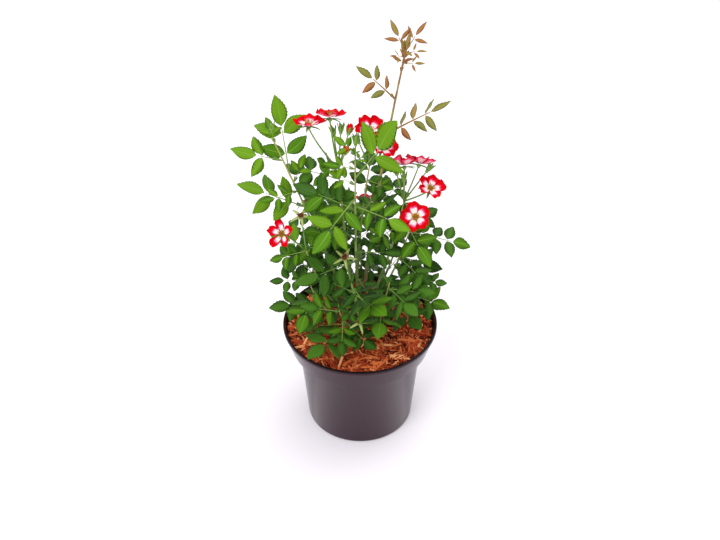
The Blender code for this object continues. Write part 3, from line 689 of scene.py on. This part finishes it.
# ---------------------------------------------------------------------------------------------
# The leaves' finer twigs: each leaf's own stalk and rachis, with its stipules, and below them the
# pedicels of the flowers. Thin, round, yellow-green, and red-tinted at the top of the tall cane.
# ---------------------------------------------------------------------------------------------
TWIG_SHADES = [
    (0.150, 0.275, 0.045), (0.230, 0.350, 0.065), (0.290, 0.170, 0.045), (0.130, 0.270, 0.050),
]
TWIG_GREEN, TWIG_PALE, TWIG_RED, STIPULE = range(4)
STALK_RADIUS = 0.00085
YOUNG_STALK_RADIUS = 0.0013
STALK_STEPS = 7
PEDICEL_RADIUS = 0.0009
PEDICEL_STEPS = 9
FLOWERS_FROM = 0.985
BUD_SEAT = 0.0075
BLOOM_SEAT = 0.0045
YOUNG_FROM = 0.64
SAG = 0.05


def is_young(shoot, leaf):
    """True for a bronze young leaf near the top of the tall cane."""
    return shoot.name == "leader" and leaf.at > YOUNG_FROM


def along_rachis(base, length, share):
    """A point on a leaf's rachis, which arches down a little towards its end."""
    return base @ Vector((length * share, 0, 0)) - Vector((0, 0, SAG * length * share ** 2))


twigs = ([], [], [])
for shoot, leaf, scale, kind in leaves_kept:
    length, base, whorls = leaf_whorls(shoot, leaf, scale)
    reach = RACHIS_SHARE[leaf.leaflets]
    # Painted light and shade: the stalks of the outline leaves take the paler green, those of the leaves
    # inside the bush the darker one.
    colour = TWIG_RED if is_young(shoot, leaf) else TWIG_PALE if kind == "placed" else TWIG_GREEN
    girth = YOUNG_STALK_RADIUS if colour == TWIG_RED else STALK_RADIUS
    shares = [reach * i / STALK_STEPS for i in range(STALK_STEPS + 1)]
    grow_tube(
        twigs, [along_rachis(base, length, s) for s in shares],
        [girth * (1 - 0.6 * s / reach) * (length / 0.07) ** 0.5 for s in shares],
        5, lambda i, k: colour,
    )
    for side in (-1, 1):
        corners, faces, shades = twigs
        first = len(corners)
        run = length * whorls[0][0] * 0.55
        for x, y, z in [(0.0006, 0.4, 0), (run * 0.5, 1.6, 0.5), (run, 2.3, 1.2), (run * 0.92, 0.5, 0.2)]:
            corners.append(base @ Vector((x, side * y * 0.001, z * 0.001)))
        corners.append(base @ Vector((run * 0.5, side * 0.0008, -0.0006)))
        for loop in [(0, 3, 2, 1), (0, 1, 4), (1, 2, 4), (2, 3, 4), (3, 0, 4)]:
            faces.append([first + n for n in (loop if side == 1 else loop[::-1])])
            shades.append(STIPULE if colour != TWIG_RED else TWIG_RED)
flowers = []
for shoot in SHOOTS:
    for n, flower in enumerate(shoot.flowers):
        start, place = way(shoot, FLOWERS_FROM), Vector(flower.place)
        face = direction(flower.bearing, flower.rise)
        if flower.stage == "bud":
            face = (place - start).normalized()
            end = place - face * BUD_SEAT
        else:
            end = place - face * BLOOM_SEAT
        flowers.append((shoot, n, flower, place, face))
        middle = start.lerp(end, 0.55)
        knee = end - face * (end - start).length * 0.30
        pull = middle * 0.6 + knee * 0.4
        shares = [i / PEDICEL_STEPS for i in range(PEDICEL_STEPS + 1)]
        points = [start * (1 - t) ** 2 + pull * 2 * t * (1 - t) + end * t * t for t in shares]
        grow_tube(
            twigs, points, [PEDICEL_RADIUS * (1.15 - 0.25 * t) for t in shares], 6,
            lambda i, k: STIPULE if flower.stage == "spent" else TWIG_PALE if i > 5 else TWIG_GREEN,
        )
twig_piece = piece_of("leaf_stalks", twigs, TWIG_SHADES, roughness=0.5, shine=0.25)
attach(twig_piece, "root")


# ---------------------------------------------------------------------------------------------
# The leaves: every leaflet is its own folded, drooping, saw-edged blade with a pale midrib, sunk
# between quilted veins, and a paler underside. Greens run from deep to bright, bronze when young;
# the spread is partly painted light and shade, darker at the back and low in the bush, brighter
# at the front, on top and along the outline, and partly the paler green of younger leaves higher up.
# ---------------------------------------------------------------------------------------------
LEAF_SHADES = [
    (0.016, 0.056, 0.004), (0.025, 0.086, 0.005), (0.038, 0.115, 0.009), (0.054, 0.155, 0.010),
    (0.072, 0.198, 0.005), (0.122, 0.268, 0.006), (0.190, 0.210, 0.040), (0.290, 0.210, 0.050),
    (0.330, 0.130, 0.040), (0.056, 0.148, 0.016), (0.160, 0.330, 0.028), (0.100, 0.190, 0.055),
    (0.360, 0.260, 0.080),
]
OLIVE, OCHRE, BRONZE, DARK_RIB, BRIGHT_RIB, UNDERSIDE, YOUNG_UNDERSIDE = range(6, 13)
APEX_TONES = (OCHRE, OCHRE, BRONZE)
YOUNG_TONES = (OLIVE, OLIVE, OLIVE, OCHRE, BRONZE)
# Painted light and shade: how bright each shoot's leaves are painted, darker for the shoots at the back
# and low in the bush, brighter for those at the front and on top.
PAINTED_LIGHT = {
    "leader": 1.6, "left_truss": 1.8, "back_truss": 1.2, "front_shoot": 2.8, "right_truss": 1.6,
    "left_shoot": 3.1, "left_flowering_shoot": 1.7, "low_left_shoot": 1.3, "front_left_shoot": 1.4,
    "low_front_shoot": 2.0, "front_right_shoot": 1.5, "low_right_shoot": 1.3, "right_shoot": 1.4,
    "back_right_shoot": 0.9, "back_shoot": 1.0, "back_left_shoot": 0.9,
}
LEAF_BREADTH = {"front_shoot": 0.83, "left_shoot": 0.85}
# Painted light: the outline leaves are painted brighter by this much.
PLACED_PAINTED_LIGHT = 1.5
BRIGHT_TONE = 4
APEX = 0.9
YOUNG_BREADTH, APEX_BREADTH = 0.58, 0.45
TIP_LEAFLETS = 3
LEADER_TIP_LEAFLETS = 7
WELL_LIT_SHOOT = 2.5
TIP_TONE, BRIGHTEST_TONE = 3, 5
FINE_LEAFLET = 0.025
BREADTHS, FOLDS, DROOPS = (0.305, 0.345), (0.06, 0.34), (0.02, 0.20)
THICKNESS = 0.0006
TOOTH = 0.040
RAKE = 0.010
QUILT = 0.011
RIPPLE = 0.016
RIB_WIDTH = 0.017


def grow_leaflet(heap, matrix, size, shades_of, slim, chance):
    """Adds one leaflet along the matrix's X from its origin, as a closed blade."""
    corners, faces, shades = heap
    top, rib, under = shades_of
    steps, spans = (18, (1.0, 0.55)) if size > FINE_LEAFLET else (12, (1.0,))
    half = size * chance.uniform(*BREADTHS) * slim
    fold, droop = chance.uniform(*FOLDS), chance.uniform(*DROOPS)
    swing, wave = chance.uniform(-0.05, 0.05), chance.uniform(0, math.tau)
    first = len(corners)
    ring_size = 2 * len(spans) + 3
    corners.append(matrix @ Vector((0, 0, 0)))
    for i in range(1, steps):
        s = i / steps
        width = half * math.sin(math.pi * s ** 0.84) ** 0.74 * (1 - 0.12 * s ** 4)
        odd = 1 if i % 2 else -1
        sink = -droop * size * s * s
        sway = swing * size * math.sin(math.pi * s)
        rib_half = size * RIB_WIDTH * (1.15 - s)
        ring = []
        for span in spans:
            edge = span == 1.0
            y = span * width * (1 + TOOTH * odd * edge)
            x = size * (s + (RAKE * odd if edge else -RAKE) + 0.035 * span * (1 - s))
            z = sink + fold * y - 1.1 * fold * y * y / half + size * QUILT * odd * (0.5 + 0.5 * span)
            z += size * RIPPLE * span * math.sin(wave + 9 * s)
            ring.append((x, y, z))
        right = [(x, -y, z) for x, y, z in ring[::-1]]
        middle = [(size * s, side * rib_half, sink - size * 0.004) for side in (1, -1)]
        keel = (size * s, 0, sink - THICKNESS - size * 0.008)
        for x, y, z in [*ring, *middle, *right, keel]:
            corners.append(matrix @ Vector((x, y + sway, z)))
    corners.append(matrix @ Vector((size * 1.02, 0, -droop * size * 1.05)))
    tip, last = len(corners) - 1, first + 1 + (steps - 2) * ring_size
    tones = [top] * len(spans) + [rib] + [top] * len(spans) + [under, under]
    for j in range(ring_size):
        after = (j + 1) % ring_size
        faces.append((first, first + 1 + after, first + 1 + j))
        shades.append(tones[j])
        for i in range(steps - 2):
            ring = first + 1 + i * ring_size
            faces.append((ring + j, ring + after, ring + ring_size + after, ring + ring_size + j))
            shades.append(tones[j])
        faces.append((last + j, last + after, tip))
        shades.append(tones[j])


leaves = ([], [], [])
for shoot, leaf, scale, kind in leaves_kept:
    chance = random.Random(f"{shoot.name} {leaf.bearing:.3f} leaflets")
    length, base, whorls = leaf_whorls(shoot, leaf, scale)
    young = is_young(shoot, leaf)
    placed = kind == "placed"
    # Painted light and shade: a leaf's tone rises with its shoot's painted light, for the outline leaves
    # and higher up the shoot, with a random spread; its midrib follows.
    painted_light = PAINTED_LIGHT[shoot.name] + PLACED_PAINTED_LIGHT * placed + 1.4 * (leaf.at - 0.6)
    painted_light += chance.gauss(0, 0.35 if placed else 0.8)
    slim = LEAF_BREADTH.get(shoot.name, 1)
    if young:
        slim = APEX_BREADTH if leaf.at > APEX else YOUNG_BREADTH
    blades = []
    for share, frame_of, size in whorls:
        for side in (-1, 1):
            turn = math.radians(PAIR_ANGLE) * side + chance.gauss(0, 0.08)
            blades.append((share, frame_of, turn, size * chance.uniform(0.93, 1.02)))
    share, frame_of, size = whorls[-1]
    end_size = length * (1 - RACHIS_SHARE[leaf.leaflets])
    blades.append((RACHIS_SHARE[leaf.leaflets], frame_of, chance.gauss(0, 0.05), end_size))
    for share, frame_of, turn, size in blades:
        place = along_rachis(base, length, share)
        turned_by = frame_of.to_3x3().to_4x4() @ Matrix.Rotation(turn, 4, "Z")
        turned_by = turned_by @ Matrix.Rotation(chance.gauss(0.02, 0.13), 4, "Y")
        turned_by = turned_by @ Matrix.Rotation(chance.gauss(0, 0.16), 4, "X")
        at = Matrix.Translation(place) @ turned_by @ Matrix.Translation((0.0012 if turn else 0, 0, 0))
        tone = max(0, min(BRIGHTEST_TONE, round(painted_light + chance.gauss(0, 0.45))))
        tones = (tone, DARK_RIB if tone < BRIGHT_TONE else BRIGHT_RIB, UNDERSIDE)
        if young:
            tone = chance.choice(APEX_TONES if leaf.at > APEX else YOUNG_TONES)
            tones = (tone, BRONZE if tone != BRONZE else OCHRE, YOUNG_UNDERSIDE)
        grow_leaflet(leaves, at, size * 0.985, tones, slim, chance)
for shoot in SHOOTS:
    chance = random.Random(shoot.name + " tip")
    tall = shoot.name == "leader"
    for i in range(LEADER_TIP_LEAFLETS if tall else TIP_LEAFLETS):
        bearing = chance.uniform(0, 360)
        rise = chance.uniform(8, 84) if tall else chance.uniform(35, 75)
        at = frame_at(way(shoot, 1 - 0.005 * i if tall else 0.995), direction(bearing, rise))
        tones = (TIP_TONE, DARK_RIB, UNDERSIDE)
        # Painted light: the tips of the brightly lit shoots take the brightest green.
        if PAINTED_LIGHT[shoot.name] > WELL_LIT_SHOOT:
            tones = (BRIGHTEST_TONE, BRIGHT_RIB, UNDERSIDE)
        if tall:
            tones = (chance.choice((OCHRE, BRONZE)), BRONZE, YOUNG_UNDERSIDE)
        size = chance.uniform(0.011, 0.018) if tall else chance.uniform(0.007, 0.011)
        grow_leaflet(leaves, at, size, tones, 0.42 if tall else 0.5, chance)
leaf_piece = piece_of("leaves", leaves, LEAF_SHADES, roughness=0.45, shine=0.11)
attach(leaf_piece, "root")
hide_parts(*[shoot.name for shoot in SHOOTS])


# ---------------------------------------------------------------------------------------------
# The blooms: five broad petals with a red margin that pales through pink to a white heart, cream
# claws round a yellow-brown eye, a ring of stamens, and pale backs over green sepals.
# ---------------------------------------------------------------------------------------------
PETALS = 5
BLOOM_RADIUS = 0.0172
BLOOM_CUP = 0.0052
PETAL_SHADES = [
    (0.630, 0.0005, 0.004), (0.690, 0.002, 0.020), (0.760, 0.016, 0.085), (0.810, 0.070, 0.220),
    (0.860, 0.230, 0.420), (0.900, 0.520, 0.640), (0.930, 0.830, 0.820), (0.900, 0.800, 0.480),
    (0.420, 0.170, 0.020), (0.960, 0.070, 0.180), (1.000, 0.540, 0.620), (0.620, 0.420, 0.080),
    (0.330, 0.140, 0.020), (0.175, 0.330, 0.055), (0.260, 0.400, 0.110),
]
RED, MAGENTA, CRIMSON, ROSE, PINK, BLUSH, WHITE, CREAM, EYE, BACK, PALE_BACK, FILAMENT, ANTHER = range(13)
SEPAL, HIP = 13, 14
EYE_SHARE = 0.15
CLAW_SHARE = 0.25
MARGIN = ((0.29, RED), (0.34, MAGENTA), (0.38, CRIMSON), (0.42, ROSE), (0.46, PINK), (0.50, BLUSH))
ACROSS, ALONG = 14, 13
PETAL_THICKNESS = 0.00035
STAMENS = 44
SEPALS = 5
SEPAL_STEPS = 5
SEPAL_LENGTH, SEPAL_HALF, SEPAL_FALL = 0.0125, 0.0018, 0.002
EYE_SIDES = 10
BUD_SIDES = 12
BUD_FOOT_RINGS = 3
NECK_RING = 4
SEAT = [(0.0009, -0.0056), (0.0019, -0.0048), (0.0024, -0.0036), (0.0022, -0.0022), (0.0014, -0.0010)]
HEART = [(0.0012, -0.0002), (0.0030, 0.0002), (0.0028, 0.0010), (0.0010, 0.0018)]
BUD = [
    (0.30, 0.00), (0.56, 0.06), (0.62, 0.14), (0.55, 0.22), (0.78, 0.34), (0.98, 0.48),
    (0.90, 0.62), (0.66, 0.76), (0.36, 0.90), (0.06, 1.00),
]
ROSE_HIP = [
    (0.35, -1.6), (0.72, -1.35), (0.98, -0.75), (1.0, -0.2), (0.80, 0.30), (0.62, 0.50), (0.30, 0.58),
]
TUFT = [(0.0014, 0.0010), (0.0030, 0.0018), (0.0028, 0.0026), (0.0010, 0.0031)]
TUFT_STAMENS = 40
FRUIT_SHADES = [
    (0.190, 0.330, 0.080), (0.420, 0.430, 0.150), (0.400, 0.480, 0.150), (0.120, 0.036, 0.012),
    (0.300, 0.120, 0.035),
]
FRUIT_GREEN, FRUIT_NECK, FRUIT_SEPAL, BROWN_TUFT, PALE_TUFT = range(5)
DEFAULT_BREADTH = 0.48
PETAL_BREADTH = {("left_flowering_shoot", 0): 0.34, ("right_truss", 1): 0.42}
RED_BUDS = {("left_truss", 2), ("left_truss", 4), ("right_truss", 4)}


def petal_shade(u, v, chance):
    """A petal's colour at a share u of its way out and v across, by how near the margin is."""
    inward = min(1 - u, (1 - abs(v)) * 0.85 + max(0, 0.60 - u) * 1.1) + chance.gauss(0, 0.018)
    claw = u + 0.05 * abs(v) + chance.gauss(0, 0.012)
    if claw < EYE_SHARE:
        return EYE
    if claw < CLAW_SHARE:
        return CREAM
    for limit, shade in MARGIN:
        if inward < limit:
            return shade
    return WHITE


def grow_petal(heap, matrix, turn, reach, breadth, cup, chance):
    """Adds one petal: a thin closed shell, waved at its margin, its tip a little notched."""
    corners, faces, shades = heap
    wave, lean, curl = chance.uniform(0, math.tau), chance.uniform(0.05, 0.16), chance.uniform(-0.1, 0.5)
    spots = {}
    for under in (0, 1):
        for i in range(ALONG + 1):
            for j in range(ACROSS + 1):
                u, v = i / ALONG, 2 * j / ACROSS - 1
                if under and (i in (0, ALONG) or j in (0, ACROSS)):
                    spots[1, i, j] = spots[0, i, j]
                    continue
                round_off = 1 - 0.40 * abs(v) ** 2.3 - 0.07 * math.exp(-(v / 0.20) ** 2)
                r = reach * (0.07 + 0.93 * u * (round_off if u > 0.5 else 1 - (1 - round_off) * u * 2))
                half = breadth * (0.10 + 0.90 * math.sin(min(1, u * 1.10) * math.pi / 2) ** 1.35)
                y = v * half
                z = cup * u ** 1.6 + lean * y + 0.0014 * math.sin(wave + 5.5 * v) * u ** 3
                z += 0.10 * breadth * abs(v) ** 2 * u - curl * 0.0022 * u ** 5
                z -= PETAL_THICKNESS * under
                spot = Matrix.Rotation(turn, 3, "Z") @ Vector((r, y, z))
                spots[under, i, j] = len(corners)
                corners.append(matrix @ spot)
    for i in range(ALONG):
        for j in range(ACROSS):
            loop = [(i, j), (i + 1, j), (i + 1, j + 1), (i, j + 1)]
            faces.append([spots[0, a, b] for a, b in loop])
            shades.append(petal_shade((i + 0.5) / ALONG, 2 * (j + 0.5) / ACROSS - 1, chance))
            faces.append([spots[1, a, b] for a, b in loop[:1] + loop[:0:-1]])
            # The backs are a paler pink with a red margin, lifted brighter than their own colour as
            # painted light, for the light the petals let through and against the shade they lie in.
            edge = min(ALONG - 1 - i, j, ACROSS - 1 - j)
            shades.append(RED if edge < 1 else BACK if edge < 3 else PALE_BACK)


def grow_blade(heap, matrix, turn, run, half, fall, shade, lift=0.0):
    """Adds a narrow pointed sepal that starts along X and falls towards its tip."""
    corners, first = heap[0], len(heap[0])
    spin = Matrix.Rotation(turn, 3, "Z")
    for i in range(SEPAL_STEPS + 1):
        s = i / SEPAL_STEPS
        wide = half * (1 - s ** 1.7) + 0.00005
        x, z = 0.0012 + run * math.sin(s * 1.35) / 0.976, lift * s - fall * s * s
        for y, dz in ((wide, 0.0003), (0, -0.0001), (-wide, 0.0003), (0, -0.0006)):
            corners.append(matrix @ (spin @ Vector((x, y, z + dz))))
    add_skin(heap, first, SEPAL_STEPS + 1, 4, lambda i, k: shade)


def grow_lathe(heap, matrix, profile, sides, shade):
    """Adds a closed body of revolution about the matrix's Z from (radius, height) points, bottom up."""
    corners, first = heap[0], len(heap[0])
    for r, z in profile:
        for k in range(sides):
            turn = math.tau * k / sides
            corners.append(matrix @ Vector((r * math.cos(turn), r * math.sin(turn), z)))
    add_skin(heap, first, len(profile), sides, shade)


def stamen(base, foot_radius, foot_height, outs, heights, chance):
    """One stamen's foot and top, and how far out its top leans."""
    turn, out = chance.uniform(0, math.tau), chance.uniform(*outs)
    x, y = math.cos(turn), math.sin(turn)
    foot = base @ Vector((foot_radius * x, foot_radius * y, foot_height))
    return foot, base @ Vector((out * x, out * y, chance.uniform(*heights))), out


blooms, fruits = ([], [], []), ([], [], [])
for shoot, n, flower, place, face in flowers:
    chance = random.Random(f"{shoot.name} flower {n}")
    base = Matrix.Translation(place) @ face.to_track_quat("Z", "Y").to_matrix().to_4x4()
    if flower.stage == "open":
        breadth = PETAL_BREADTH.get((shoot.name, n), DEFAULT_BREADTH)
        for i in range(PETALS):
            turn = math.tau * (i + 0.5) / PETALS + chance.gauss(0, 0.05)
            grow_petal(
                blooms, base, turn, BLOOM_RADIUS * chance.uniform(0.97, 1.06),
                BLOOM_RADIUS * breadth * chance.uniform(0.97, 1.05),
                BLOOM_CUP * chance.uniform(0.9, 1.5), chance,
            )
        grow_lathe(blooms, base, HEART, EYE_SIDES, lambda i, k: EYE)
        for i in range(STAMENS):
            foot, top, out = stamen(base, 0.0014, 0.0006, (0.0008, 0.0050), (0.0034, 0.0056), chance)
            grow_tube(blooms, [foot, top], [0.00012, 0.00010], 3, lambda i, k: FILAMENT)
            tip = top + (top - foot).normalized() * 0.0004
            grow_tube(
                blooms, [top, (top + tip) / 2, tip + (tip - top)], [0.0002, 0.00056, 0.0001],
                4, lambda i, k: ANTHER,
            )
        below = base @ Matrix.Translation((0, 0, -0.0022))
        for i in range(SEPALS):
            turn = math.tau * i / SEPALS
            grow_blade(blooms, below, turn, SEPAL_LENGTH, SEPAL_HALF, SEPAL_FALL, SEPAL)
        grow_lathe(blooms, base, SEAT, EYE_SIDES, lambda i, k: HIP)
    elif flower.stage == "bud":
        ripe = (shoot.name, n) in RED_BUDS
        height = 0.0150 if ripe else 0.0125
        wide = 0.0040 if ripe else 0.0032
        seat = Matrix.Translation(-face * 0.0068) @ base
        profile = [(wide * r, height * z) for r, z in BUD]
        skin = RED if ripe else SEPAL
        grow_lathe(blooms, seat, profile, BUD_SIDES, lambda i, k: HIP if i < BUD_FOOT_RINGS else skin)
        share, lean, fall = (0.55, -1.25, -0.0012) if ripe else (0.82, -1.38, 0.0005)
        for i in range(SEPALS):
            up = seat @ Matrix.Rotation(math.tau * (i + 0.5) / SEPALS, 4, "Z")
            up = up @ Matrix.Translation((wide * 0.56, 0, height * 0.20)) @ Matrix.Rotation(lean, 4, "Y")
            grow_blade(blooms, up, 0, height * share, wide * 0.5, fall, SEPAL)
    else:
        swell = chance.uniform(1.15, 1.4)
        profile = [(0.0026 * swell * r, 0.0030 * z) for r, z in ROSE_HIP]
        grow_lathe(
            fruits, base, profile, BUD_SIDES, lambda i, k: FRUIT_GREEN if i < NECK_RING else FRUIT_NECK
        )
        top_of = base @ Matrix.Translation((0, 0, 0.0006))
        for i in range(SEPALS):
            run, fall = chance.uniform(0.0115, 0.0145), chance.uniform(0.002, 0.0045)
            turn = math.tau * i / SEPALS
            grow_blade(fruits, top_of, turn, run, 0.0019, fall, FRUIT_SEPAL, lift=0.001)
        grow_lathe(fruits, base, TUFT, EYE_SIDES, lambda i, k: BROWN_TUFT)
        for i in range(TUFT_STAMENS):
            foot, top, out = stamen(base, 0.0012, 0.0012, (0.0010, 0.0046), (0.0032, 0.0052), chance)
            shade = BROWN_TUFT if out < 0.0034 else PALE_TUFT
            grow_tube(fruits, [foot, top], [0.00024, 0.00042], 3, lambda i, k: shade)
bloom_piece = piece_of("blooms_and_buds", blooms, PETAL_SHADES, roughness=0.7, shine=0.04)
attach(bloom_piece, "root")
fruit_piece = piece_of("young_hips", fruits, FRUIT_SHADES, roughness=0.6, shine=0.2)
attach(fruit_piece, "root")


# ---------------------------------------------------------------------------------------------
# The setting: a plain pale floor under soft studio light from the front and the top, and a 50 mm
# camera that looks down on the bush from nearly a metre in front of it.
# ---------------------------------------------------------------------------------------------
PAPER = (0.93, 0.90, 0.95, 1)
SKY, SKY_STRENGTH = (1.0, 0.99, 1.0, 1), 0.95
PLANT_MIDDLE = (0, 0, 0.25)
CAMERA_PLACE = (0, -0.9419, 0.9485)
CAMERA_DIP = 37.56

bpy.ops.object.select_all(action="DESELECT")
bpy.ops.mesh.primitive_plane_add(size=30, location=(0, 8, 0))
floor = bpy.context.object
floor.name = "studio_floor"
paper = bpy.data.materials.new("studio_paper")
paper.use_nodes = True
shader = paper.node_tree.nodes["Principled BSDF"]
shader.inputs["Base Color"].default_value = PAPER
shader.inputs["Roughness"].default_value = 0.9
floor.data.materials.append(paper)

world = bpy.data.worlds.new("studio")
world.use_nodes = True
world.node_tree.nodes["Background"].inputs["Color"].default_value = SKY
world.node_tree.nodes["Background"].inputs["Strength"].default_value = SKY_STRENGTH
bpy.context.scene.world = world

for name, place, size, power in (
    ("softbox_front", (-0.9, -1.3, 1.9), 1.2, 22),
    ("softbox_top", (0.4, 0.5, 2.2), 1.4, 16),
):
    lamp = bpy.data.lights.new(name, "AREA")
    lamp.size = size
    lamp.energy = power
    box = bpy.data.objects.new(name, lamp)
    box.location = place
    box.rotation_euler = (Vector(PLANT_MIDDLE) - Vector(place)).to_track_quat("-Z", "Y").to_euler()
    bpy.context.scene.collection.objects.link(box)

lens = bpy.data.cameras.new("camera")
lens.lens = 50
lens.sensor_width = 36
camera = bpy.data.objects.new("camera", lens)
camera.location = CAMERA_PLACE
camera.rotation_euler = (math.radians(90 - CAMERA_DIP), 0, 0)
bpy.context.scene.collection.objects.link(camera)
bpy.context.scene.camera = camera
bpy.context.scene.view_settings.view_transform = "Standard"
